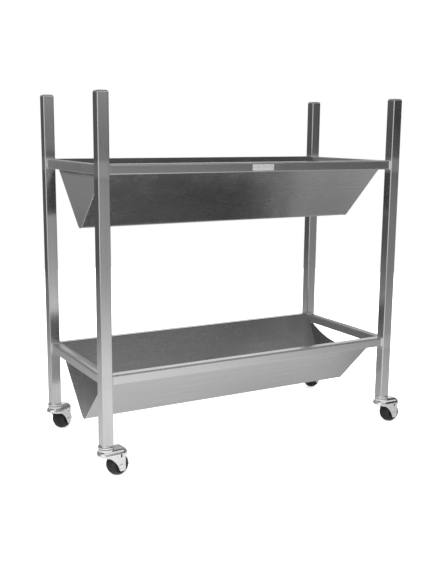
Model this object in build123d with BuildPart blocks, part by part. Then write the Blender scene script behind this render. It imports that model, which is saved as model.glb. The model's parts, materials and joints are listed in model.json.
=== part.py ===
from build123d import *
import os

os.makedirs("parts", exist_ok=True)

# Millimetres. X runs along the long side, Y to the back, Z up from the floor,
# and the origin is on the floor under the middle of the box round the whole cart.

# Clear opening between the posts, and heights above the floor
opening_length = 914.4
opening_width = 381.0
overall_height = 1016.0
upper_rail_top = 832.0
lower_rail_top = 280.0
post_bottom = 90.0

# Middle of the frame, off the origin because the casters trail to the right and back
frame_x = -18.7
frame_y = -8.9

# Square tube of the posts and of the rails
post_size = 31.75
post_wall = 1.65
post_corner = 3.0
rail_size = 25.4
rail_wall = 1.65
rail_corner = 3.0

# Domed caps that close the post tops
cap_height = 8.0
cap_rounding = 6.0
cap_spigot_depth = 8.0

# Folded trough sheet with its end plates
sheet = 1.5
trough_bottom_radius = 20.0
lip_width = 20.0
lip_bend_radius = 4.5
scoop_half_chord = 150.0
scoop_depth = 40.0

# Plug in the post bottom that takes the caster stem
socket_length = 36.0
socket_play = 0.1
socket_bottom_chamfer = 1.0

# Caster stem, kingpin and upper race
stem_radius = 5.5
stem_fit = 0.05
stem_length = 34.0
stem_tip_chamfer = 1.5
neck_radius = 18.0
neck_height = 2.0
race_radius = 22.0
race_height = 5.5
race_rounding = 2.0
kingpin_radius = 5.0
kingpin_fit = 0.05
kingpin_head_radius = 9.0
kingpin_head_height = 3.0

# Bearing ring that runs under the race
bearing_radius = 19.0
bearing_bore_radius = 12.0
bearing_height = 1.6
bearing_rounding = 0.6
running_gap = 0.3

# Hood, which is also the fork, with a collar round the kingpin
hood_half_width = 26.0
hood_wall = 2.0
hood_rear_reach = 24.0
hood_rear_corner = 17.0
hood_shoulder = 16.5
hood_front_edge = 63.0
hood_side_edge = 58.0
hood_rear_edge = 60.0
collar_radius = 21.0
collar_wall = 2.5
collar_height = 1.0
collar_depth = 8.0
collar_rounding = 0.8
cheek_bottom = 17.0
cheek_top_reach = 34.0
cheek_front_reach = 5.0
cheek_rear_reach = 12.5
cheek_scoop = 5.0
cheek_corner = 5.0
spy_slot_length = 10.0
spy_slot_width = 4.5
spy_slot_above_axle = 30.0

# Ball wheel and axle
ball_radius = 30.5
ball_half_width = 21.5
caster_trail = 33.0
tread_half_width = 12.0
tread_depth = 4.5
tread_proud = 0.8
side_recess_radius = 16.0
side_recess_depth = 3.0
hub_radius = 7.0
axle_radius = 4.0
axle_fit = 0.05
axle_head_radius = 6.5
axle_head_height = 2.0
axle_head_rounding = 1.2

# How far each caster is turned about its post, counterclockwise seen from above
caster_turn = {"front_left": 5.0, "front_right": -2.0, "rear_left": 33.0, "rear_right": 20.0}

# Places worked out from the sizes above
inner_x = opening_length / 2
inner_y = opening_width / 2
post_x = inner_x + post_size / 2
post_y = inner_y + post_size / 2
rail_x = inner_x + rail_size / 2
rail_y = inner_y + rail_size / 2
race_bottom = post_bottom - neck_height - race_height
bearing_top = race_bottom - running_gap
hood_top = bearing_top - bearing_height
hood_crown = hood_top - collar_height
hood_rear = caster_trail + hood_rear_reach
kingpin_head_top = hood_top - hood_wall - running_gap
axle_height = ball_radius
corners = {
    "front_left": (frame_x - post_x, frame_y - post_y),
    "front_right": (frame_x + post_x, frame_y - post_y),
    "rear_left": (frame_x - post_x, frame_y + post_y),
    "rear_right": (frame_x + post_x, frame_y + post_y),
}


def finish(piece, label):
    """Name a finished piece and write it to its own file."""
    piece.part.label = label
    export_step(piece.part, f"parts/{label}.step")


def tube_section(size, corner, wall):
    """Square tube with rounded corners, drawn in the open sketch."""
    RectangleRounded(size, size, corner)
    RectangleRounded(size - 2 * wall, size - 2 * wall, corner - wall, mode=Mode.SUBTRACT)


# Corner posts, open at the bottom for the caster sockets
def make_post(label, x, y):
    with BuildPart() as post:
        with BuildSketch(Plane((x, y, post_bottom))):
            tube_section(post_size, post_corner, post_wall)
        extrude(amount=overall_height - cap_height - post_bottom)
    finish(post, label)


# Cap with a domed top and a spigot that centres it in the tube
def make_cap(label, x, y):
    spigot_size = post_size - 2 * post_wall - 2 * socket_play
    with BuildPart() as cap:
        with BuildSketch(Plane((x, y, overall_height - cap_height))):
            RectangleRounded(post_size, post_size, post_corner)
        extrude(amount=cap_height)
        fillet(cap.faces().sort_by(Axis.Z)[-1].edges(), radius=cap_rounding)
        with BuildSketch(Plane((x, y, overall_height - cap_height))):
            RectangleRounded(spigot_size, spigot_size, post_corner - post_wall)
        extrude(amount=-cap_spigot_depth)
    finish(cap, label)


# Rails lie flush with the inner faces of the posts and butt against them
def make_long_rail(label, side, top):
    start = (frame_x - inner_x, frame_y + side * rail_y, top - rail_size / 2)
    plane = Plane(start, x_dir=(0, 1, 0), z_dir=(1, 0, 0))
    with BuildPart() as rail:
        with BuildSketch(plane):
            tube_section(rail_size, rail_corner, rail_wall)
        extrude(amount=opening_length)
    finish(rail, label)


def make_end_rail(label, side, top):
    start = (frame_x + side * rail_x, frame_y - inner_y, top - rail_size / 2)
    plane = Plane(start, x_dir=(1, 0, 0), z_dir=(0, 1, 0))
    with BuildPart() as rail:
        with BuildSketch(plane):
            tube_section(rail_size, rail_corner, rail_wall)
        extrude(amount=opening_width)
    finish(rail, label)


def trough_plane(x):
    """Upright plane across the cart at x from the frame's middle, its own x to the back."""
    return Plane((frame_x + x, frame_y, 0), x_dir=(0, 1, 0), z_dir=(1, 0, 0))


def trough_line(top):
    """Underside of the trough from lip to lip, drawn in the open line builder."""
    lip_edge = inner_y + lip_width
    FilletPolyline(
        (-lip_edge, top),
        (-inner_y, top),
        (0, top - inner_y),
        (inner_y, top),
        (lip_edge, top),
        radius=(lip_bend_radius, trough_bottom_radius, lip_bend_radius),
    )


# Long sheet folded to a right-angled V, its lips lying on the long rails
def make_trough_sheet(label, top):
    with BuildPart() as trough:
        with BuildSketch(trough_plane(0)):
            with BuildLine():
                trough_line(top)
                offset(amount=sheet, side=Side.LEFT)
            make_face()
        extrude(amount=inner_x - sheet, both=True)
    finish(trough, label)


# Triangular plate welded over the end of the fold, up to the rail top
def make_end_plate(label, side, top, scooped):
    rail_bottom = top - rail_size
    with BuildPart() as plate:
        with BuildSketch(trough_plane(side * inner_x)):
            with BuildLine():
                FilletPolyline(
                    (-inner_y, top),
                    (0, top - inner_y),
                    (inner_y, top),
                    radius=trough_bottom_radius,
                )
                Line((inner_y, top), (-inner_y, top))
            make_face()
            if scooped:
                with BuildLine():
                    SagittaArc(
                        (-scoop_half_chord, rail_bottom),
                        (scoop_half_chord, rail_bottom),
                        -scoop_depth,
                    )
                    Polyline(
                        (scoop_half_chord, rail_bottom),
                        (inner_y, rail_bottom),
                        (inner_y, top),
                        (-inner_y, top),
                        (-inner_y, rail_bottom),
                        (-scoop_half_chord, rail_bottom),
                    )
                make_face(mode=Mode.SUBTRACT)
        extrude(amount=-side * sheet)
    finish(plate, label)


# Plug that fills the post bottom and is bored for the stem
def make_socket(label, x, y):
    plug_size = post_size - 2 * post_wall - 2 * socket_play
    with BuildPart() as socket:
        with BuildSketch(Plane((x, y, post_bottom))):
            RectangleRounded(plug_size, plug_size, post_corner - post_wall)
            Circle(stem_radius + stem_fit, mode=Mode.SUBTRACT)
        extrude(amount=socket_length)
        chamfer(socket.faces().sort_by(Axis.Z)[0].outer_wire().edges(), length=socket_bottom_chamfer)
    finish(socket, label)


# The caster pieces are modelled about a swivel axis at the origin, trailing along +X
with BuildPart() as stem:
    with BuildSketch(Plane((0, 0, race_bottom))):
        Circle(race_radius)
    extrude(amount=race_height)
    fillet(stem.edges().filter_by(GeomType.CIRCLE), radius=race_rounding)
    with BuildSketch(Plane((0, 0, race_bottom + race_height))):
        Circle(neck_radius)
    extrude(amount=neck_height)
    with BuildSketch(Plane((0, 0, post_bottom))):
        Circle(stem_radius)
    extrude(amount=stem_length)
    chamfer(stem.faces().sort_by(Axis.Z)[-1].edges(), length=stem_tip_chamfer)
    with BuildSketch(Plane((0, 0, race_bottom))):
        Circle(kingpin_radius)
    extrude(amount=-(race_bottom - kingpin_head_top))
    with BuildSketch(Plane((0, 0, kingpin_head_top))):
        Circle(kingpin_head_radius)
    extrude(amount=-kingpin_head_height)

with BuildPart() as bearing:
    with BuildSketch(Plane((0, 0, hood_top))):
        Circle(bearing_radius)
        Circle(bearing_bore_radius, mode=Mode.SUBTRACT)
    extrude(amount=bearing_height)
    fillet(bearing.edges().filter_by(GeomType.CIRCLE), radius=bearing_rounding)


# Hood: a thin round-shouldered cover that carries the race on its collar and
# comes down each side of the ball as a cheek that holds the axle
def hood_block(inset):
    """Solid block in the hood's outer shape, drawn in by the inset all round."""
    corner_x = hood_rear - hood_rear_corner
    corner_y = hood_half_width - hood_rear_corner
    with BuildPart() as block:
        with BuildSketch(Plane((0, 0, cheek_bottom))):
            Circle(hood_half_width - inset)
            with Locations((corner_x, corner_y), (corner_x, -corner_y)):
                Circle(hood_rear_corner - inset)
            make_hull()
        extrude(amount=hood_crown - inset - cheek_bottom)
        fillet(block.faces().sort_by(Axis.Z)[-1].edges(), radius=hood_shoulder - inset)
    return block.part


hood_outside = hood_block(0)
hood_inside = hood_block(hood_wall)
with BuildPart() as hood:
    add(hood_outside)
    add(hood_inside, mode=Mode.SUBTRACT)
    with BuildSketch(Plane((0, 0, hood_top))):
        Circle(collar_radius)
    extrude(amount=-collar_depth)
    with BuildSketch(Plane((0, 0, hood_top - hood_wall))):
        Circle(collar_radius - collar_wall)
    extrude(amount=-collar_depth, mode=Mode.SUBTRACT)
    fillet(hood.faces().sort_by(Axis.Z)[-1].outer_wire().edges(), radius=collar_rounding)
    with BuildSketch(Plane.XZ) as side_view:
        with BuildLine():
            Polyline(
                (caster_trail - cheek_front_reach, cheek_bottom),
                (caster_trail + cheek_rear_reach, cheek_bottom),
                (caster_trail + cheek_rear_reach, hood_rear_edge),
                (hood_rear, hood_rear_edge),
                (hood_rear, hood_top),
                (-hood_half_width, hood_top),
                (-hood_half_width, hood_front_edge),
                (caster_trail - cheek_top_reach, hood_side_edge),
            )
            SagittaArc(
                (caster_trail - cheek_top_reach, hood_side_edge),
                (caster_trail - cheek_front_reach, cheek_bottom),
                cheek_scoop,
            )
        make_face()
        fillet(side_view.vertices().group_by(Axis.Y)[0], radius=cheek_corner)
    extrude(amount=hood_half_width, both=True, mode=Mode.INTERSECT)
    with BuildSketch(Plane((0, 0, hood_top))):
        Circle(kingpin_radius + kingpin_fit)
    extrude(amount=-2 * hood_wall, mode=Mode.SUBTRACT)
    with BuildSketch(Plane.XZ):
        with Locations((caster_trail, axle_height)):
            Circle(axle_radius)
        with Locations((caster_trail, axle_height + spy_slot_above_axle)):
            SlotOverall(spy_slot_length, spy_slot_width, rotation=90)
    extrude(amount=hood_half_width, both=True, mode=Mode.SUBTRACT)

# Rivet that carries the ball, headed outside both cheeks
axle_plane = Plane((caster_trail, 0, axle_height), x_dir=(1, 0, 0), z_dir=(0, 1, 0))
with BuildPart() as axle:
    with BuildSketch(axle_plane):
        Circle(axle_radius)
    extrude(amount=hood_half_width, both=True)
    for end in (-1, 1):
        with BuildSketch(axle_plane.offset(end * hood_half_width)):
            Circle(axle_head_radius)
        extrude(amount=end * axle_head_height)
    fillet(axle.faces().sort_by(Axis.Y)[0].edges(), radius=axle_head_rounding)
    fillet(axle.faces().sort_by(Axis.Y)[-1].edges(), radius=axle_head_rounding)

# Ball wheel: a truncated ball with a groove for its tread band and hollow sides
wheel_axis = Axis((caster_trail, 0, axle_height), (0, 1, 0))
core_radius = ball_radius - tread_proud
tread_inner_radius = ball_radius - tread_depth
hub_half_width = hood_half_width - hood_wall - running_gap
wheel_plane = Plane((caster_trail, 0, axle_height))
with BuildPart() as core:
    with BuildSketch(wheel_plane) as core_half:
        Circle(core_radius)
        Rectangle(2 * core_radius, 2 * ball_half_width, mode=Mode.INTERSECT)
        with Locations((tread_inner_radius, 0)):
            Rectangle(
                2 * tread_depth, 2 * tread_half_width,
                align=(Align.MIN, Align.CENTER), mode=Mode.SUBTRACT,
            )
        with Locations((0, ball_half_width), (0, -ball_half_width)):
            Rectangle(2 * side_recess_radius, 2 * side_recess_depth, mode=Mode.SUBTRACT)
        Rectangle(2 * hub_radius, 2 * hub_half_width)
        Rectangle(2 * (axle_radius + axle_fit), 2 * hub_half_width, mode=Mode.SUBTRACT)
        Rectangle(
            ball_radius, 2 * hub_half_width,
            align=(Align.MAX, Align.CENTER), mode=Mode.SUBTRACT,
        )
    revolve(axis=wheel_axis)

with BuildPart() as tread:
    with BuildSketch(wheel_plane):
        Circle(ball_radius)
        Rectangle(2 * ball_radius, 2 * tread_half_width, mode=Mode.INTERSECT)
        Rectangle(2 * tread_inner_radius, 2 * tread_half_width, mode=Mode.SUBTRACT)
        Rectangle(
            ball_radius, 2 * tread_half_width,
            align=(Align.MAX, Align.CENTER), mode=Mode.SUBTRACT,
        )
    revolve(axis=wheel_axis)


def place_caster_piece(piece, label, corner):
    """Copy a caster piece to its corner, turned about the post's axis."""
    with BuildPart() as placed:
        with Locations(Location((*corners[corner], 0), (0, 0, caster_turn[corner]))):
            add(piece.part)
    finish(placed, label)


for corner, (x, y) in corners.items():
    make_post(f"post_{corner}", x, y)
    make_cap(f"post_cap_{corner}", x, y)
    make_socket(f"caster_socket_{corner}", x, y)
    place_caster_piece(stem, f"caster_stem_{corner}", corner)
    place_caster_piece(bearing, f"caster_bearing_{corner}", corner)
    place_caster_piece(hood, f"caster_hood_{corner}", corner)
    place_caster_piece(axle, f"caster_axle_{corner}", corner)
    place_caster_piece(core, f"wheel_core_{corner}", corner)
    place_caster_piece(tread, f"wheel_tread_{corner}", corner)

for tier, top in (("upper", upper_rail_top), ("lower", lower_rail_top)):
    make_long_rail(f"{tier}_front_rail", -1, top)
    make_long_rail(f"{tier}_rear_rail", 1, top)
    make_end_rail(f"{tier}_left_rail", -1, top)
    make_end_rail(f"{tier}_right_rail", 1, top)
    make_trough_sheet(f"{tier}_trough_sheet", top)
    make_end_plate(f"{tier}_trough_left_end", -1, top, scooped=False)
    make_end_plate(f"{tier}_trough_right_end", 1, top, scooped=True)
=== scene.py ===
import json
import math

import bpy
import numpy as np
from mathutils import Matrix, Vector


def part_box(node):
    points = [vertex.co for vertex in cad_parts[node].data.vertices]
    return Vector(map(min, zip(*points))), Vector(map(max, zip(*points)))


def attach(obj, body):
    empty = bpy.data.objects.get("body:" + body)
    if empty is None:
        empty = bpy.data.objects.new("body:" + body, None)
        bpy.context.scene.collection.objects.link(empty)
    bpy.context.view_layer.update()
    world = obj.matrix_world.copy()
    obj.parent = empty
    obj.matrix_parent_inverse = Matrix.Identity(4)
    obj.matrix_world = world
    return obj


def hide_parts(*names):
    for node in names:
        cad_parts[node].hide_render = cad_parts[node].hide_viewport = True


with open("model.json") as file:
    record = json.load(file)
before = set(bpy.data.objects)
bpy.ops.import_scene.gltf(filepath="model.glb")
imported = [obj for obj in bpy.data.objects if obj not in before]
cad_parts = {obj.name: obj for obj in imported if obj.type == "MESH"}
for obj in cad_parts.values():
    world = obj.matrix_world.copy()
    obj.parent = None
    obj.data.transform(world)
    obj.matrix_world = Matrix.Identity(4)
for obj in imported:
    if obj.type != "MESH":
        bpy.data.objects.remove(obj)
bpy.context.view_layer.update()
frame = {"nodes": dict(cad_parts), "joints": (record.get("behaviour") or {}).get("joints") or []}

# Metres, in the cart's own frame: X along the long side, Y to the back, Z up from the floor
MM = 0.001
CORNERS = ("front_left", "front_right", "rear_left", "rear_right")
TIERS = ("upper", "lower")

# Camera, fitted to the corners of the posts and rails in the photograph
CAMERA_PLACE = Vector((-1.3157, -2.2622, 0.9233))
CAMERA_YAW = math.radians(29.391)
CAMERA_PITCH = math.radians(10.665)
CAMERA_ROLL = math.radians(0.486)
FOCAL_PX = 861.24
IMAGE_LONG_SIDE_PX = 582
SENSOR_MM = 36.0

# Brightness of the studio as the metal sees it, with the white of the picture as 1
FRONT_LEFT_LEVEL = 0.5
FRONT_RIGHT_LEVEL = 0.3
BACK_LEFT_LEVEL = 0.12
BACK_RIGHT_LEVEL = 0.42
BACK_WALL_LEVEL = 0.35
BACKDROP_LEVEL = 1.0
CARD_LEVEL = 1.2
HORIZON_LEFT_LEVEL = 0.15
HORIZON_RIGHT_LEVEL = 0.05
WALL_LEFT_LEVEL = 0.55
WALL_RIGHT_LEVEL = 0.03
SIDE_RIGHT_LEVEL = 0.18
HIGH_LEVEL = 0.9
CEILING_LEVEL = 0.08

# Soft edges of the studio's parts, from where each starts to where it is whole. They are measured
# on the direction that the metal looks in: X to the right, Y to the back, Z up, or on how nearly
# it points along a bearing in degrees.
RIGHT_EDGE = (0.46, 0.58)
HORIZON_EDGE = (-0.06, -0.025)
WALL_EDGE = (0.01, 0.035)
BACK_EDGE = (-0.25, 0.25)
BACK_WALL_EDGE = (0.03, 0.13)
BACKDROP_FOOT_EDGE = (-0.02, 0.06)
BACKDROP_BEARING = 28
BACKDROP_SIDE_EDGE = (0.8, 0.93)
CARD_BEARING = -119
CARD_EDGE = (0.78, 0.93)
SIDE_EDGE = (0.72, 0.92)
CEILING_EDGE = (0.6, 0.8)
HIGH_EDGE = (0.38, 0.6)
HIGH_BACK_EDGE = (-0.4, -0.2)

# Floor in metres: its radius, and the soft edges of its brightness in front, behind and in depth
FLOOR_RADIUS = 3.2
FLOOR_FRONT_EDGE = (0.2, 1.4)
FLOOR_BACK_EDGE = (-0.5, 0.8)
FLOOR_DEPTH_EDGE = (-1.2, 0.8)

# What the lamps add to the floor, taken off its own glow: all over it as the metal sees it, and
# round the middle as the camera does
LAMPS_ON_METAL_VIEW = 0.2
LAMPS_ON_CAMERA_VIEW = 0.4
LAMPS_REACH = (2.0, 2.0)

# Painted pools of light and painted soft shadows in the floor's glow, as the metal sees them:
# middle, reach, brightness
FLOOR_SPOTS = (
    ((-0.4, -0.45), (1.1, 1.7), 0.62),
    ((0.8, 0.0), (0.3, 0.4), -0.42),
    ((0.15, 0.2), (0.3, 0.2), -0.2),
    ((-0.85, 0.75), (0.3, 0.4), 0.12),
)

# Lamps: name, place, point aimed at, size in metres and power in watts
LAMPS = (
    ("key_lamp", (-2.4, -2.6, 3.4), (0, 0, 0.4), 2.6, 170),
    ("side_lamp", (3.2, -0.8, 3.0), (0, 0, 0.3), 2.4, 90),
    ("top_lamp", (0.0, 1.6, 3.6), (0, 0, 0.3), 3.0, 110),
)

# Finish of the stainless steel: ranges of roughness, ground patches at the welds, and the slope of
# an end plate
TUBE_GLOSS = (0.17, 0.23)
END_RAIL_GLOSS = (0.44, 0.5)
SHEET_GLOSS = (0.22, 0.28)
PATCH_ROUGHNESS = 0.4
PATCH_REACH = 14.0 * MM
END_PLATE_BOW = 0.3

# Round corners of the tubes and of the folded sheet, as the solids have them
POST_CORNER = 3.0 * MM
RAIL_CORNER = 3.0 * MM
FOLD_RADIUS = 20.0 * MM

# Weld beads
RAIL_BEAD_LEG = 2.6 * MM
RAIL_BEAD_LENGTH = 3.2 * MM
BEAD_ROOT = 0.5 * MM
FLUSH_BEAD_HEIGHT = 0.12 * MM
FLUSH_BEAD_DEPTH = 3.0 * MM
SEAM_BEAD_RADIUS = 0.9 * MM
RIPPLE_PITCH = 2.5 * MM
RIPPLE_HEIGHT = 0.12 * MM
SEAM_END_GAP = 2.0 * MM
LIP_BEAD_LIFT = 0.3 * MM

# Bare plate on the upper front rail
PLATE_CENTRE_X = -15.5 * MM
PLATE_LENGTH = 70.0 * MM
PLATE_HEIGHT = 17.5 * MM
PLATE_THICKNESS = 0.8 * MM
PLATE_CORNER = 2.0 * MM
RIVET_RADIUS = 1.6 * MM
RIVET_INSET = 4.5 * MM

# Ball wheel, with the clearances of the solids it stands for
BALL_RADIUS = 30.5 * MM
CORE_RADIUS = 29.7 * MM
CORE_HALF_WIDTH = 21.5 * MM
TREAD_HALF_WIDTH = 12.0 * MM
TREAD_INNER_RADIUS = 26.0 * MM
TREAD_GROOVE_PLACE = 8.5 * MM
TREAD_GROOVE_DEPTH = 0.5 * MM
HOLLOW_RADIUS = 16.0 * MM
HOLLOW_DEPTH = 3.0 * MM
HUB_RADIUS = 7.0 * MM
HUB_HALF_WIDTH = 23.7 * MM
BORE_RADIUS = 4.05 * MM
RIB_COUNT = 6
RIB_HEIGHT = 2.2 * MM

# Steps of the meshes
CORNER_STEPS = 9
FILLET_STEPS = 9
RAIL_BEAD_STEPS = 96
RIPPLE_STEPS = 4
SEAM_BEAD_STEPS = 8
PLATE_STEPS = 72
WHEEL_STEPS = 144


def centre_of(node):
    """Middle of a CAD node's box."""
    low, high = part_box(node)
    return (low + high) / 2


# Shapes


def make_piece(name, grids, body, material):
    """Mesh from one or more grids of points, riding on a body.

    Each grid has rows along the piece and columns around it. The columns join up into a ring, and
    the rows' ends join up too where the grid is marked closed; otherwise each end gets a flat cap.
    """
    points, faces, start = [], [], 0
    for grid, closed in grids:
        rows, columns = grid.shape[:2]
        index = start + np.arange(rows * columns).reshape(rows, columns)
        last = rows if closed else rows - 1
        here = index[:last]
        ahead = index[(np.arange(last) + 1) % rows]
        quads = np.stack(
            [here, np.roll(here, -1, 1), np.roll(ahead, -1, 1), ahead], axis=-1
        ).reshape(-1, 4)
        found = quads.tolist()
        if not closed:
            found.append(index[0][::-1].tolist())
            found.append(index[-1].tolist())
        flat = grid.reshape(-1, 3)
        if enclosed_volume(flat, quads, start) < 0:
            found = [face[::-1] for face in found]
        points.append(flat)
        faces.extend(found)
        start += rows * columns
    mesh = bpy.data.meshes.new(name)
    mesh.from_pydata(np.concatenate(points), [], faces)
    mesh.validate()
    mesh.polygons.foreach_set("use_smooth", np.ones(len(mesh.polygons), bool))
    mesh.materials.append(material)
    piece = bpy.data.objects.new(name, mesh)
    bpy.context.scene.collection.objects.link(piece)
    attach(piece, body)
    return piece


def enclosed_volume(points, quads, start):
    """Six times the signed volume inside the quads.

    It is the sum of the cones from the middle of the points to each half of each quad.
    """
    corner = (points - points.mean(0))[quads - start]
    a, b, c, d = (corner[:, i] for i in range(4))
    halves = (np.einsum("ij,ij->i", a, np.cross(b, c)), np.einsum("ij,ij->i", a, np.cross(c, d)))
    return float((halves[0] + halves[1]).sum())


def even_line(points, count, closed):
    """The same line as evenly spaced points, with the distance of each from the start."""
    line = np.concatenate([points, points[:1]]) if closed else points
    along = np.concatenate([[0], np.cumsum(np.linalg.norm(np.diff(line, axis=0), axis=1))])
    want = np.linspace(0, along[-1], count, endpoint=not closed)
    columns = [np.interp(want, along, line[:, i]) for i in range(line.shape[1])]
    return np.stack(columns, axis=1), want


def rounded_box_line(half_width, half_height, radius, count):
    """Outline of a rectangle with round corners, as (x, y, outward x, outward y) rows.

    Each corner is a quarter circle about a centre set in by the radius, and straight runs join
    them.
    """
    quarter = np.linspace(0, math.pi / 2, CORNER_STEPS)
    angle = np.concatenate([quarter + i * math.pi / 2 for i in range(4)])
    sign_x = np.repeat([1, -1, -1, 1], CORNER_STEPS)
    sign_y = np.repeat([1, 1, -1, -1], CORNER_STEPS)
    normal = np.stack([np.cos(angle), np.sin(angle)], axis=1)
    middle = np.stack([sign_x * (half_width - radius), sign_y * (half_height - radius)], axis=1)
    corners = np.concatenate([middle + radius * normal, normal], axis=1)
    line, along = even_line(corners, count, True)
    line[:, 2:] /= np.linalg.norm(line[:, 2:], axis=1, keepdims=True)
    return line, along


def rail_weld(rail, axis, toward, inward):
    """Weld bead round one end of a rail, where it butts against a post.

    The bead follows the rail's rounded square outline. Across it, its face runs from the rail to
    the post as a fillet halfway between a straight slope and a hollow quarter circle, with a
    slight ripple. On the side that is flush with the post it sinks to a thin film over the post's
    round corner. toward is the way from the post into the rail along the axis, and inward the
    flush side's sign.
    """
    low, high = (np.array(corner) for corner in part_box(rail))
    other = 1 - axis
    centre, half = (low + high) / 2, (high - low) / 2
    line, along = rounded_box_line(half[other], half[2], RAIL_CORNER, RAIL_BEAD_STEPS)
    flush = np.clip(line[:, 2] * inward, 0, 1)[:, None] ** 2
    ripple = RIPPLE_HEIGHT * np.sin(2 * math.pi * along / RIPPLE_PITCH)[:, None] * (1 - flush)
    height = RAIL_BEAD_LEG * (1 - flush) + FLUSH_BEAD_HEIGHT * flush
    back = BEAD_ROOT * (1 - flush) + POST_CORNER * flush
    under = BEAD_ROOT * (1 - flush) + FLUSH_BEAD_DEPTH * flush
    step = np.linspace(0, 1, FILLET_STEPS)[None, :]
    slope = 0.5 * step + 0.5 * (1 - np.cos(step * math.pi / 2))
    face_out = height * slope + ripple * np.sin(step * math.pi)
    fall = 1 - 0.5 * step - 0.5 * np.sin(step * math.pi / 2)
    face_along = RAIL_BEAD_LENGTH * fall - back * step ** 4
    out = np.concatenate([face_out, -under, -under], axis=1)
    run = np.concatenate([face_along, -back, np.full_like(back, RAIL_BEAD_LENGTH)], axis=1)
    grid = np.empty((*out.shape, 3))
    end = low[axis] if toward > 0 else high[axis]
    grid[..., axis] = end + toward * run
    grid[..., other] = centre[other] + line[:, 0, None] + line[:, 2, None] * out
    grid[..., 2] = centre[2] + line[:, 1, None] + line[:, 3, None] * out
    return grid, True


def seam_bead(path, outward, radius):
    """Bead along a seam: a circle carried along the path, which swells and sinks at each ripple.

    outward is the direction in which the bead stands proud; the circle lies across the path.
    """
    count = max(2, int(path_length(path) / RIPPLE_PITCH) * RIPPLE_STEPS)
    line, along = even_line(path, count, False)
    tangent = np.gradient(line, axis=0)
    tangent /= np.linalg.norm(tangent, axis=1, keepdims=True)
    first = np.array(outward) - tangent * (tangent @ np.array(outward))[:, None]
    first /= np.linalg.norm(first, axis=1, keepdims=True)
    second = np.cross(tangent, first)
    turn = np.linspace(0, 2 * math.pi, SEAM_BEAD_STEPS, endpoint=False)[None, :, None]
    size = radius + RIPPLE_HEIGHT * np.sin(2 * math.pi * along / RIPPLE_PITCH)
    around = np.cos(turn) * first[:, None] + np.sin(turn) * second[:, None]
    return line[:, None] + size[:, None, None] * around, False


def path_length(path):
    """Length of a line of points."""
    return float(np.linalg.norm(np.diff(path, axis=0), axis=1).sum())


def fold_line(x, y, top, half_width, radius, reach):
    """Underside of a trough at x: two 45 degree slopes that meet in an arc.

    The slopes go up to reach from the middle. Made long, they would cross at the apex.
    """
    apex = top - half_width
    angle = np.linspace(-0.75 * math.pi, -0.25 * math.pi, 13)
    arc_y = radius * np.cos(angle)
    arc_z = apex + radius * math.sqrt(2) + radius * np.sin(angle)
    line_y = np.concatenate([[-reach], arc_y, [reach]])
    line_z = np.concatenate([[apex + reach], arc_z, [apex + reach]])
    return np.stack([np.full_like(line_y, x), y + line_y, line_z], axis=1)


def ring_about(centre, axle, section):
    """Solid of revolution: a closed section of (radius, place along the axle) turned about it.

    section holds one row of points for each step of the turn, so the outline may change on the
    way round.
    """
    axle = np.array(axle) / np.linalg.norm(axle)
    first = np.cross(axle, (0, 0, 1.0))
    first /= np.linalg.norm(first)
    second = np.cross(axle, first)
    turn = np.linspace(0, 2 * math.pi, len(section), endpoint=False)
    spoke = np.cos(turn)[:, None] * first + np.sin(turn)[:, None] * second
    return np.array(centre) + section[..., :1] * spoke[:, None] + section[..., 1:] * axle, True


def both_sides(outline):
    """Closed outline from its half on one side of the wheel's middle plane."""
    return np.concatenate([outline, (outline * (1, -1))[::-1]])


def core_section(turn_steps):
    """Section of the ball core: bore, hub, hollow side with ribs, rim, ball face and tread groove.

    The ball face is a circle about the wheel's middle. The hollow's floor rises in ribs: the sixth
    power of the cosine of the angle times their count, where that cosine is above 0.
    """
    face_y = np.linspace(CORE_HALF_WIDTH - 0.6 * MM, TREAD_HALF_WIDTH, 9)
    ball = np.stack([np.sqrt(CORE_RADIUS ** 2 - face_y ** 2), face_y], axis=1)
    rim_radius = math.sqrt(CORE_RADIUS ** 2 - CORE_HALF_WIDTH ** 2)
    floor_y = CORE_HALF_WIDTH - HOLLOW_DEPTH
    outline = np.array([
        (BORE_RADIUS, 0.0),
        (BORE_RADIUS, HUB_HALF_WIDTH - 0.4 * MM),
        (BORE_RADIUS + 0.4 * MM, HUB_HALF_WIDTH),
        (HUB_RADIUS - 0.6 * MM, HUB_HALF_WIDTH),
        (HUB_RADIUS - 0.15 * MM, HUB_HALF_WIDTH - 0.2 * MM),
        (HUB_RADIUS, HUB_HALF_WIDTH - 0.6 * MM),
        (HUB_RADIUS, floor_y + 0.8 * MM),
        (HUB_RADIUS + 0.8 * MM, floor_y),
        (HUB_RADIUS + 2.0 * MM, floor_y),
        (HOLLOW_RADIUS - 2.0 * MM, floor_y),
        (HOLLOW_RADIUS - 0.8 * MM, floor_y),
        (HOLLOW_RADIUS, floor_y + 0.8 * MM),
        (HOLLOW_RADIUS, CORE_HALF_WIDTH - 0.5 * MM),
        (HOLLOW_RADIUS + 0.5 * MM, CORE_HALF_WIDTH),
        (rim_radius - 0.6 * MM, CORE_HALF_WIDTH),
    ])
    groove = np.array([(TREAD_INNER_RADIUS, TREAD_HALF_WIDTH), (TREAD_INNER_RADIUS, 0.0)])
    outline = np.concatenate([outline, ball, groove])
    section = np.repeat(both_sides(outline)[None], turn_steps, axis=0)
    angle = np.linspace(0, 2 * math.pi, turn_steps, endpoint=False)
    rib = np.clip(np.cos(RIB_COUNT * angle), 0, 1) ** 6 * RIB_HEIGHT
    on_floor = np.isclose(np.abs(section[0, :, 1]), floor_y) & (section[0, :, 0] < HOLLOW_RADIUS)
    section[:, on_floor, 1] += rib[:, None] * np.sign(section[0, on_floor, 1])
    return section


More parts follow.
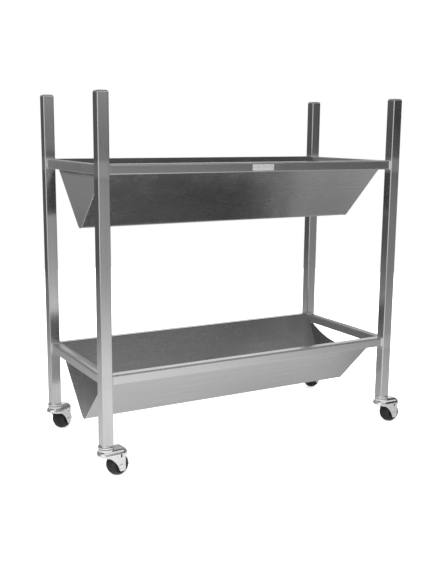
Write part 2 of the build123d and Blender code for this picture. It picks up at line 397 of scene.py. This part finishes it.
def tread_section(turn_steps):
    """Section of the tread band: a crowned face, eased shoulders and two fine moulded grooves.

    The crown is a circle about the wheel's middle, and each groove a bell-shaped dip in it.
    """
    face_y = np.linspace(0, TREAD_HALF_WIDTH - 0.8 * MM, 24)
    crown = np.sqrt(BALL_RADIUS ** 2 - face_y ** 2)
    groove = TREAD_GROOVE_DEPTH * np.exp(-(((face_y - TREAD_GROOVE_PLACE) / (0.5 * MM)) ** 2))
    shoulder = math.sqrt(BALL_RADIUS ** 2 - TREAD_HALF_WIDTH ** 2)
    face = np.stack([crown - groove, face_y], axis=1)
    side = np.array([
        (shoulder - 0.25 * MM, TREAD_HALF_WIDTH - 0.2 * MM),
        (shoulder - 0.8 * MM, TREAD_HALF_WIDTH),
        (TREAD_INNER_RADIUS, TREAD_HALF_WIDTH),
        (TREAD_INNER_RADIUS, 0.0),
    ])
    return np.repeat(both_sides(np.concatenate([face, side])[::-1])[None], turn_steps, axis=0)


def plate_grid(centre, half_length, half_height, corner, thickness):
    """Flat plate against a face that looks along -Y, with a round edge and a line pressed in it.

    Rows are rounded rectangles that step in from the back edge, over the rounded front edge,
    across the pressed line and toward the middle.
    """
    inset = np.array([0.0, 0.0, 0.1, 0.35, 1.3, 1.5, 1.8, 2.0, 4.0]) * MM
    rise = np.array([0.0, 0.7, 0.93, 1.0, 1.0, 0.86, 0.86, 1.0, 1.0]) * thickness
    rows = []
    for step, height in zip(inset, rise):
        line, _ = rounded_box_line(
            half_length - step, half_height - step, max(corner - step, 0.2 * MM), PLATE_STEPS
        )
        rows.append(np.stack([line[:, 0], np.full(PLATE_STEPS, -height), line[:, 1]], axis=1))
    return np.array(centre) + np.array(rows), False


def rivet_grid(centre, radius):
    """Dome head against a face that looks along -Y: circles that shrink over a low ellipse."""
    rise = np.linspace(0, math.pi / 2, 7)[:-1, None]
    turn = np.linspace(0, 2 * math.pi, 24, endpoint=False)[None, :]
    reach = radius * np.cos(rise)
    grid = np.stack([
        reach * np.cos(turn),
        -0.55 * radius * np.sin(rise) * np.ones_like(turn),
        reach * np.sin(turn),
    ], axis=-1)
    return np.array(centre) + grid, False


# Node helpers


def linear(hex_code):
    """Linear colour of an sRGB hex value."""
    parts = [int(hex_code[i:i + 2], 16) / 255 for i in (0, 2, 4)]
    return (*(c / 12.92 if c <= 0.04045 else ((c + 0.055) / 1.055) ** 2.4 for c in parts), 1.0)


def add_node(tree, kind, inputs=None, **settings):
    """Add a node, set its properties, and set or link its inputs."""
    made = tree.nodes.new(kind)
    for name, value in settings.items():
        setattr(made, name, value)
    for name, value in (inputs or {}).items():
        if isinstance(value, bpy.types.NodeSocket):
            tree.links.new(value, made.inputs[name])
        else:
            made.inputs[name].default_value = value
    return made


def new_material(name, **shader_values):
    """Material with one shader, whose even values are set on its own sockets."""
    material = bpy.data.materials.new(name)
    material.use_nodes = True
    tree = material.node_tree
    tree.nodes.clear()
    shader = add_node(tree, "ShaderNodeBsdfPrincipled", shader_values)
    add_node(tree, "ShaderNodeOutputMaterial", {"Surface": shader.outputs[0]})
    return material, tree, shader


def stretched_noise(tree, size_mm, detail=2.0, roughness=0.5):
    """Noise whose features have the given real sizes in millimetres along X, Y and Z."""
    place = add_node(tree, "ShaderNodeTexCoord")
    scaled = add_node(
        tree, "ShaderNodeMapping",
        {"Vector": place.outputs["Object"], "Scale": [1 / (s * MM) for s in size_mm]},
    )
    noise = add_node(
        tree, "ShaderNodeTexNoise",
        {"Vector": scaled.outputs[0], "Scale": 1.0, "Detail": detail, "Roughness": roughness},
    )
    return noise.outputs["Fac"]


def along_axis(axis, along, across):
    """Sizes along X, Y and Z of a grain that runs along one axis."""
    return [along if i == axis else across for i in range(3)]


def between(tree, factor, low, high):
    """Numbers from low to high as the factor goes from 0.3 to 0.7, where most of a noise lies."""
    spread = add_node(
        tree, "ShaderNodeMapRange",
        {"Value": factor, "From Min": 0.3, "From Max": 0.7, "To Min": low, "To Max": high},
    )
    return spread.outputs[0]


def blend_colours(tree, factor, first, second):
    """Colour that goes from the first to the second with the factor."""
    mixed = add_node(tree, "ShaderNodeMix", {0: factor, 6: first, 7: second}, data_type="RGBA")
    return mixed.outputs[2]


def blend_numbers(tree, factor, first, second):
    """Number that goes from the first to the second with the factor."""
    return add_node(tree, "ShaderNodeMix", {0: factor, 2: first, 3: second}).outputs[0]


def calculate(tree, operation, first, second=0.0):
    """One sum on one or two numbers."""
    return add_node(tree, "ShaderNodeMath", {0: first, 1: second}, operation=operation).outputs[0]


def rising(tree, value, low, high):
    """0 below the low value and 1 above the high one, eased between them."""
    return add_node(
        tree, "ShaderNodeMapRange", {"Value": value, "From Min": low, "From Max": high},
        interpolation_type="SMOOTHSTEP",
    ).outputs[0]


def soft_spot(tree, x, y, middle, reach):
    """Bell-shaped spot: 1 at its middle, falling off as exp(-(a/reach)^2 - (b/reach)^2).

    a and b are the distances from the middle along X and Y, each with its own reach.
    """
    total = 0.0
    for value, centre, size in zip((x, y), middle, reach):
        apart = calculate(tree, "DIVIDE", calculate(tree, "SUBTRACT", value, centre), size)
        total = calculate(tree, "ADD", total, calculate(tree, "MULTIPLY", apart, apart))
    return calculate(tree, "EXPONENT", calculate(tree, "MULTIPLY", total, -1.0))


def near_levels(tree, axis, levels, reach, fade):
    """1 within reach of any of the levels on an axis, easing to 0 over the fade."""
    place = add_node(tree, "ShaderNodeTexCoord")
    parts = add_node(tree, "ShaderNodeSeparateXYZ", {0: place.outputs["Object"]})
    found = None
    for level in levels:
        offset = calculate(tree, "SUBTRACT", parts.outputs[axis], level)
        ends = {"From Min": reach, "From Max": reach + fade, "To Min": 1.0, "To Max": 0.0}
        mask = add_node(
            tree, "ShaderNodeMapRange",
            {"Value": calculate(tree, "ABSOLUTE", offset), **ends},
            interpolation_type="SMOOTHSTEP",
        ).outputs[0]
        found = mask if found is None else calculate(tree, "MAXIMUM", found, mask)
    return found


def mottled(tree, noise, first, second):
    """Colour that wanders with a noise between two sRGB hex values."""
    return blend_colours(tree, between(tree, noise, 0.0, 1.0), linear(first), linear(second))


def bumped(tree, height, strength, distance, under=None):
    """Normal bent by a height, on top of the bent normal under it where there is one."""
    inputs = {"Strength": strength, "Distance": distance, "Height": height}
    if under is not None:
        inputs["Normal"] = under
    return add_node(tree, "ShaderNodeBump", inputs).outputs[0]


def feed(tree, shader, inputs):
    """Link a shader's sockets by name."""
    for name, value in inputs.items():
        tree.links.new(value, shader.inputs[name])


# Materials


def satin_tube(name, axis, ends, gloss):
    """Stainless tube with a belt-ground satin finish, ground across its grain at the welds.

    The belt leaves fine parallel lines along the tube, which spread what it reflects across them.
    The disc that dresses each weld leaves a paler, duller patch with no direction, and handling
    leaves faint cloudy marks. gloss is the range of roughness of the ground tube.
    """
    across = [0.0 if i == axis else 1.0 for i in range(3)]
    material, tree, shader = new_material(name, Metallic=1.0, Anisotropic=0.6, Tangent=across)
    fine = stretched_noise(tree, along_axis(axis, 60, 0.5), detail=1.0)
    coarse = stretched_noise(tree, along_axis(axis, 300, 4), detail=3.0)
    cloud = stretched_noise(tree, (70, 70, 90), detail=3.0)
    disc = stretched_noise(tree, (2.5, 2.5, 2.5), detail=4.0)
    patch = near_levels(tree, axis, ends, PATCH_REACH, PATCH_REACH)
    ragged = calculate(tree, "MULTIPLY", patch, between(tree, disc, 0.7, 1.0))
    metal = mottled(tree, coarse, "BFBFBF", "C6C6C6")
    satin = calculate(tree, "ADD", between(tree, cloud, *gloss), between(tree, fine, -0.03, 0.03))
    feed(tree, shader, {
        "Base Color": blend_colours(tree, ragged, metal, linear("CDCDCD")),
        "Roughness": blend_numbers(tree, ragged, satin, PATCH_ROUGHNESS),
        "Normal": bumped(tree, blend_numbers(tree, ragged, fine, disc), 0.1, 0.05 * MM),
    })
    return material


def satin_sheet(name, axis, bow):
    """Stainless sheet with a fine mill polish along its length.

    Its lines are finer than the tube's. A cold-rolled sheet held only at its edges is never flat,
    so a low wave 150 mm long bends what it reflects. bow is the slope, out toward its foot, that
    the weld's pull gives a thin end plate. It is drawn larger than a real one, which puts the
    reflections on the end plates where the photograph has them.
    """
    across = (0.0, 1.0, 0.3) if axis == 0 else (0.0, 0.0, 1.0)
    material, tree, shader = new_material(name, Metallic=1.0, Anisotropic=0.5, Tangent=across)
    fine = stretched_noise(tree, along_axis(axis, 80, 0.5), detail=1.0)
    coarse = stretched_noise(tree, along_axis(axis, 350, 5), detail=3.0)
    wave = stretched_noise(tree, (150, 110, 110), detail=1.0)
    cloud = stretched_noise(tree, (90, 90, 90), detail=4.0, roughness=0.6)
    cloudy = between(tree, cloud, *SHEET_GLOSS)
    place = add_node(tree, "ShaderNodeTexCoord")
    height = add_node(tree, "ShaderNodeSeparateXYZ", {0: place.outputs["Object"]}).outputs[2]
    bent = bumped(tree, calculate(tree, "MULTIPLY", height, -bow), 1.0, 1.0)
    rolled = bumped(tree, wave, 0.6, 0.5 * MM, bent)
    feed(tree, shader, {
        "Base Color": mottled(tree, coarse, "BDBDBD", "C5C5C5"),
        "Roughness": calculate(tree, "ADD", cloudy, between(tree, fine, -0.025, 0.025)),
        "Normal": bumped(tree, fine, 0.1, 0.04 * MM, rolled),
    })
    return material


def dressed_weld():
    """Weld metal, wire brushed: the same steel, paler and duller, with a faint grey bloom."""
    material, tree, shader = new_material("weld_metal_wire_brushed", Metallic=0.8)
    bloom = stretched_noise(tree, (3, 3, 3), detail=3.0)
    feed(tree, shader, {
        "Base Color": mottled(tree, bloom, "C4C4C4", "DADADA"),
        "Roughness": between(tree, bloom, 0.3, 0.45),
        "Normal": bumped(tree, bloom, 0.3, 0.1 * MM),
    })
    return material


def chrome_plate():
    """Bright chrome plate over pressed steel: mirror gloss with faint rub marks and dust."""
    material, tree, shader = new_material("chrome_plate_bright", Metallic=1.0)
    rub = stretched_noise(tree, (6, 6, 1.2), detail=4.0)
    dust = stretched_noise(tree, (9, 9, 9), detail=5.0, roughness=0.65)
    feed(tree, shader, {
        "Base Color": mottled(tree, dust, "E6E7E8", "D8D8D8"),
        "Roughness": between(tree, rub, 0.05, 0.13),
        "Normal": bumped(tree, rub, 0.1, 0.1 * MM),
    })
    return material


def zinc_plate():
    """Bright zinc plate on turned steel: a soft grey gloss with cloudy drying marks."""
    material, tree, shader = new_material("zinc_plate_clear", Metallic=1.0)
    cloud = stretched_noise(tree, (4, 4, 4), detail=4.0)
    feed(tree, shader, {
        "Base Color": mottled(tree, cloud, "B2B5B8", "C6C8CA"),
        "Roughness": between(tree, cloud, 0.24, 0.36),
    })
    return material


def moulded_ball():
    """Black phenolic moulding: a hard low gloss with fine flow marks."""
    material, tree, shader = new_material("phenolic_moulded_black", Metallic=0.0, IOR=1.5)
    flow = stretched_noise(tree, (5, 5, 5), detail=5.0)
    feed(tree, shader, {
        "Base Color": mottled(tree, flow, "0B0B0B", "161616"),
        "Roughness": between(tree, flow, 0.36, 0.5),
        "Normal": bumped(tree, flow, 0.15, 0.1 * MM),
    })
    return material


def tread_rubber():
    """Black rubber tread: dull, with grey floor dust worked into a fine pebble."""
    material, tree, shader = new_material("rubber_tread_black", Metallic=0.0, IOR=1.52)
    pebble = stretched_noise(tree, (0.9, 0.9, 0.9), detail=2.0)
    scuff = stretched_noise(tree, (7, 7, 7), detail=5.0, roughness=0.65)
    feed(tree, shader, {
        "Base Color": mottled(tree, scuff, "0D0D0D", "222120"),
        "Roughness": between(tree, scuff, 0.6, 0.78),
        "Normal": bumped(tree, pebble, 0.35, 0.15 * MM),
    })
    return material


def plate_aluminium():
    """Bare anodised aluminium plate: pale and dull, mottled where it has been wiped."""
    material, tree, shader = new_material("aluminium_plate_anodised", Metallic=0.7)
    mottle = stretched_noise(tree, (6, 6, 5), detail=4.0)
    feed(tree, shader, {
        "Base Color": mottled(tree, mottle, "CCCCCC", "EAEAEA"),
        "Roughness": between(tree, mottle, 0.42, 0.55),
    })
    return material


RAIL_LEVELS = [centre_of(f"{tier}_front_rail").z for tier in TIERS]
POST_XS = [centre_of(f"post_{side}").x for side in ("front_left", "front_right")]
POST_YS = [centre_of(f"post_{side}").y for side in ("front_left", "rear_left")]

# The short end rails are dressed by hand, which leaves them duller than the belt does
POST_STEEL = satin_tube("stainless_tube_satin_upright", 2, RAIL_LEVELS, TUBE_GLOSS)
LONG_RAIL_STEEL = satin_tube("stainless_tube_satin_long", 0, POST_XS, TUBE_GLOSS)
END_RAIL_STEEL = satin_tube("stainless_tube_satin_end", 1, POST_YS, END_RAIL_GLOSS)
SHEET_STEEL = satin_sheet("stainless_sheet_polished_long", 0, 0.0)
END_PLATE_STEEL = satin_sheet("stainless_sheet_polished_end", 1, END_PLATE_BOW)
WELD_STEEL = dressed_weld()
CHROME = chrome_plate()
ZINC = zinc_plate()
PHENOLIC = moulded_ball()
RUBBER = tread_rubber()
PLATE_METAL = plate_aluminium()


def dress_node(node, material):
    """Give a CAD node its material."""
    slots = frame["nodes"][node].data.materials
    if len(slots):
        slots[0] = material
    else:
        slots.append(material)


for corner in CORNERS:
    dress_node(f"post_{corner}", POST_STEEL)
    dress_node(f"post_cap_{corner}", POST_STEEL)
    dress_node(f"caster_socket_{corner}", ZINC)
    dress_node(f"caster_stem_{corner}", CHROME)
    dress_node(f"caster_bearing_{corner}", ZINC)
    dress_node(f"caster_axle_{corner}", CHROME)
    dress_node(f"caster_hood_{corner}", CHROME)
    dress_node(f"wheel_core_{corner}", PHENOLIC)
    dress_node(f"wheel_tread_{corner}", RUBBER)
for tier in TIERS:
    for side in ("front", "rear"):
        dress_node(f"{tier}_{side}_rail", LONG_RAIL_STEEL)
    for side in ("left", "right"):
        dress_node(f"{tier}_{side}_rail", END_RAIL_STEEL)
        dress_node(f"{tier}_trough_{side}_end", END_PLATE_STEEL)
    dress_node(f"{tier}_trough_sheet", SHEET_STEEL)


# Pieces that the solids leave to the looks


def make_wheels():
    """Ball cores and treads, each turned about its own axle."""
    for corner in CORNERS:
        roll = next(joint for joint in frame["joints"] if joint["name"] == f"{corner}_roll")
        body = f"wheel_{corner}"
        core = ring_about(roll["pos_m"], roll["axis"], core_section(WHEEL_STEPS))
        core_piece = make_piece(f"ball_core_{corner}", [core], body, PHENOLIC)
        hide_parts(f"wheel_core_{corner}")
        tread = ring_about(roll["pos_m"], roll["axis"], tread_section(WHEEL_STEPS))
        tread_piece = make_piece(f"tread_band_{corner}", [tread], body, RUBBER)
        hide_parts(f"wheel_tread_{corner}")


def make_rail_welds():
    """Beads round both ends of every rail, one piece for each tier."""
    for tier in TIERS:
        beads = [
            rail_weld(f"{tier}_{side}_rail", 0, toward, inward)
            for side, inward in (("front", 1), ("rear", -1)) for toward in (1, -1)
        ]
        beads += [
            rail_weld(f"{tier}_{side}_rail", 1, toward, inward)
            for side, inward in (("left", 1), ("right", -1)) for toward in (1, -1)
        ]
        make_piece(f"{tier}_rail_welds", beads, "frame", WELD_STEEL)


def make_trough_seams():
    """Beads under the folded ends of each trough, and along the lips that lie on the rails."""
    for tier in TIERS:
        low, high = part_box(f"{tier}_trough_sheet")
        front_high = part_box(f"{tier}_front_rail")[1]
        middle_y = (low.y + high.y) / 2
        half_width = middle_y - front_high.y
        beads = []
        for side in ("left", "right"):
            plate_low, plate_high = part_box(f"{tier}_trough_{side}_end")
            x = (plate_low.x + plate_high.x) / 2
            reach = half_width - SEAM_END_GAP
            path = fold_line(x, middle_y, front_high.z, half_width, FOLD_RADIUS, reach)
            beads.append(seam_bead(path, (0.0, 0.0, -1.0), SEAM_BEAD_RADIUS))
        for edge_y, outward in ((low.y, -1.0), (high.y, 1.0)):
            path = np.array([
                (low.x + SEAM_END_GAP, edge_y, front_high.z + LIP_BEAD_LIFT),
                (high.x - SEAM_END_GAP, edge_y, front_high.z + LIP_BEAD_LIFT),
            ])
            beads.append(seam_bead(path, (0.0, outward, 0.0), SEAM_BEAD_RADIUS))
        make_piece(f"{tier}_trough_seams", beads, "frame", WELD_STEEL)


def make_bare_plate():
    """Bare plate with two rivets on the upper front rail."""
    low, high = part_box("upper_front_rail")
    face = (PLATE_CENTRE_X, low.y, (low.z + high.z) / 2)
    plate = plate_grid(face, PLATE_LENGTH / 2, PLATE_HEIGHT / 2, PLATE_CORNER, PLATE_THICKNESS)
    make_piece("bare_plate", [plate], "frame", PLATE_METAL)
    reach = PLATE_LENGTH / 2 - RIVET_INSET
    heads = [
        rivet_grid((face[0] + side * reach, face[1] - PLATE_THICKNESS, face[2]), RIVET_RADIUS)
        for side in (-1, 1)
    ]
    make_piece("plate_rivets", heads, "frame", ZINC)


make_wheels()
make_rail_welds()
make_trough_seams()
make_bare_plate()


# Floor, light and camera


def make_floor():
    """Pale floor, a disc wide enough to lie under every view, white to the camera.

    What the metal sees of it is a painted glow: a pool of light round the cart that fades into a
    dim studio, fairly light in front, darker behind on the left, with painted soft shadows of the
    cart in it, over the real shadows that the lamps cast on its grey.
    """
    material, tree, shader = new_material("floor_paper_white", Roughness=0.9)
    path = add_node(tree, "ShaderNodeLightPath")
    mirrored = path.outputs["Is Glossy Ray"]
    # Painted shade: the floor is pale paper to the camera and to bounced light, and a darker grey
    # to the metal
    paper_with_reflected_shade = blend_colours(tree, mirrored, linear("F2F2F2"), linear("7A7A7A"))
    tree.links.new(paper_with_reflected_shade, shader.inputs["Base Color"])
    place = add_node(tree, "ShaderNodeTexCoord")
    parts = add_node(tree, "ShaderNodeSeparateXYZ", {0: place.outputs["Object"]})
    x, y = parts.outputs[0], parts.outputs[1]
    front_right = rising(tree, x, *FLOOR_FRONT_EDGE)
    front = blend_numbers(tree, front_right, FRONT_LEFT_LEVEL, FRONT_RIGHT_LEVEL)
    back_right = rising(tree, x, *FLOOR_BACK_EDGE)
    back = blend_numbers(tree, back_right, BACK_LEFT_LEVEL, BACK_RIGHT_LEVEL)
    room = blend_numbers(tree, rising(tree, y, *FLOOR_DEPTH_EDGE), front, back)
    seen = calculate(tree, "SUBTRACT", room, LAMPS_ON_METAL_VIEW)
    # Painted light and painted shadow: each spot adds to or takes from the glow that the metal
    # sees
    for middle, reach, brightness in FLOOR_SPOTS:
        painted_spot = calculate(tree, "MULTIPLY", soft_spot(tree, x, y, middle, reach), brightness)
        seen = calculate(tree, "ADD", seen, painted_spot)
    lit = soft_spot(tree, x, y, (0.0, 0.0), LAMPS_REACH)
    unlit = calculate(
        tree, "SUBTRACT", 1.0, calculate(tree, "MULTIPLY", lit, LAMPS_ON_CAMERA_VIEW)
    )
    white = calculate(tree, "MULTIPLY", path.outputs["Is Camera Ray"], unlit)
    # The camera sees an even white; the metal sees the painted glow
    glow = blend_numbers(tree, mirrored, white, calculate(tree, "MAXIMUM", seen, 0.0))
    shader.inputs["Emission Color"].default_value = (1.0, 1.0, 1.0, 1.0)
    tree.links.new(glow, shader.inputs["Emission Strength"])
    angle = np.linspace(0, 2 * math.pi, 96, endpoint=False)
    rim = FLOOR_RADIUS * np.stack([np.cos(angle), np.sin(angle), np.zeros_like(angle)], axis=1)
    mesh = bpy.data.meshes.new("floor")
    mesh.from_pydata(rim, [], [list(range(len(rim)))])
    mesh.materials.append(material)
    floor = bpy.data.objects.new("floor", mesh)
    bpy.context.scene.collection.objects.link(floor)


def toward(tree, parts, bearing):
    """How nearly a direction points along a level bearing: the cosine of the angle between them.

    The bearing is in degrees, from the back of the cart toward its right.
    """
    angle = math.radians(bearing)
    return calculate(
        tree, "ADD",
        calculate(tree, "MULTIPLY", parts.outputs[0], math.sin(angle)),
        calculate(tree, "MULTIPLY", parts.outputs[1], math.cos(angle)),
    )


def make_world():
    """Studio round the cart, as the metal sees it; to the camera it is plain white.

    In front there is a pale wall on the left and a dark one on the right, over a dark line at the
    horizon. Behind, a dim wall gives way on the right to a white backdrop. The right side is dim,
    and a bright card stands on the left of the camera. Overhead it is dark, with a bright band
    high up in front.
    """
    world = bpy.data.worlds.new("studio")
    bpy.context.scene.world = world
    world.use_nodes = True
    tree = world.node_tree
    tree.nodes.clear()
    place = add_node(tree, "ShaderNodeTexCoord")
    parts = add_node(tree, "ShaderNodeSeparateXYZ", {0: place.outputs["Generated"]})
    x, y, z = parts.outputs[0], parts.outputs[1], parts.outputs[2]

    right = rising(tree, x, *RIGHT_EDGE)
    ground = blend_numbers(tree, right, FRONT_LEFT_LEVEL, FRONT_RIGHT_LEVEL)
    wall = blend_numbers(tree, right, WALL_LEFT_LEVEL, WALL_RIGHT_LEVEL)
    horizon = blend_numbers(tree, right, HORIZON_LEFT_LEVEL, HORIZON_RIGHT_LEVEL)
    front = blend_numbers(tree, rising(tree, z, *HORIZON_EDGE), ground, horizon)
    front = blend_numbers(tree, rising(tree, z, *WALL_EDGE), front, wall)

    above = rising(tree, z, *BACK_WALL_EDGE)
    back_left = blend_numbers(tree, above, BACK_LEFT_LEVEL, BACK_WALL_LEVEL)
    foot = rising(tree, z, *BACKDROP_FOOT_EDGE)
    backdrop = blend_numbers(tree, foot, BACK_RIGHT_LEVEL, BACKDROP_LEVEL)
    in_backdrop = rising(tree, toward(tree, parts, BACKDROP_BEARING), *BACKDROP_SIDE_EDGE)
    back = blend_numbers(tree, in_backdrop, back_left, backdrop)

    walls = blend_numbers(tree, rising(tree, y, *BACK_EDGE), front, back)
    walls = blend_numbers(tree, rising(tree, x, *SIDE_EDGE), walls, SIDE_RIGHT_LEVEL)
    in_card = rising(tree, toward(tree, parts, CARD_BEARING), *CARD_EDGE)
    walls = blend_numbers(tree, in_card, walls, CARD_LEVEL)
    roof = blend_numbers(tree, rising(tree, z, *CEILING_EDGE), walls, CEILING_LEVEL)
    ahead = calculate(tree, "SUBTRACT", 1.0, rising(tree, y, *HIGH_BACK_EDGE))
    high = calculate(tree, "MULTIPLY", rising(tree, z, *HIGH_EDGE), ahead)
    studio = blend_numbers(tree, high, roof, HIGH_LEVEL)

    path = add_node(tree, "ShaderNodeLightPath")
    seen = blend_numbers(tree, path.outputs["Is Camera Ray"], studio, 1.0)
    background = add_node(
        tree, "ShaderNodeBackground", {"Color": (1, 1, 1, 1), "Strength": seen}
    )
    add_node(tree, "ShaderNodeOutputWorld", {"Surface": background.outputs[0]})


def make_lamp(name, place, target, size, power):
    """Square soft lamp that lights the floor and the cart but doesn't show in the metal."""
    light = bpy.data.lights.new(name, "AREA")
    light.size = size
    light.energy = power
    lamp = bpy.data.objects.new(name, light)
    lamp.location = place
    lamp.rotation_euler = (Vector(target) - Vector(place)).to_track_quat("-Z", "Y").to_euler()
    lamp.visible_glossy = False
    bpy.context.scene.collection.objects.link(lamp)


def make_camera():
    """Camera at the photograph's place and angle."""
    ahead = Vector((
        math.sin(CAMERA_YAW) * math.cos(CAMERA_PITCH),
        math.cos(CAMERA_YAW) * math.cos(CAMERA_PITCH),
        -math.sin(CAMERA_PITCH),
    ))
    level_right = Vector((math.cos(CAMERA_YAW), -math.sin(CAMERA_YAW), 0))
    level_up = level_right.cross(ahead)
    right = math.cos(CAMERA_ROLL) * level_right + math.sin(CAMERA_ROLL) * level_up
    up = right.cross(ahead)
    data = bpy.data.cameras.new("photo_view")
    data.lens = FOCAL_PX * SENSOR_MM / IMAGE_LONG_SIDE_PX
    data.sensor_width = SENSOR_MM
    camera = bpy.data.objects.new("photo_view", data)
    turned = Matrix((right, up, -ahead)).transposed().to_4x4()
    camera.matrix_world = Matrix.Translation(CAMERA_PLACE) @ turned
    bpy.context.scene.collection.objects.link(camera)
    bpy.context.scene.camera = camera


make_floor()
make_world()
for lamp in LAMPS:
    make_lamp(*lamp)
make_camera()
bpy.context.scene.view_settings.view_transform = "Standard"
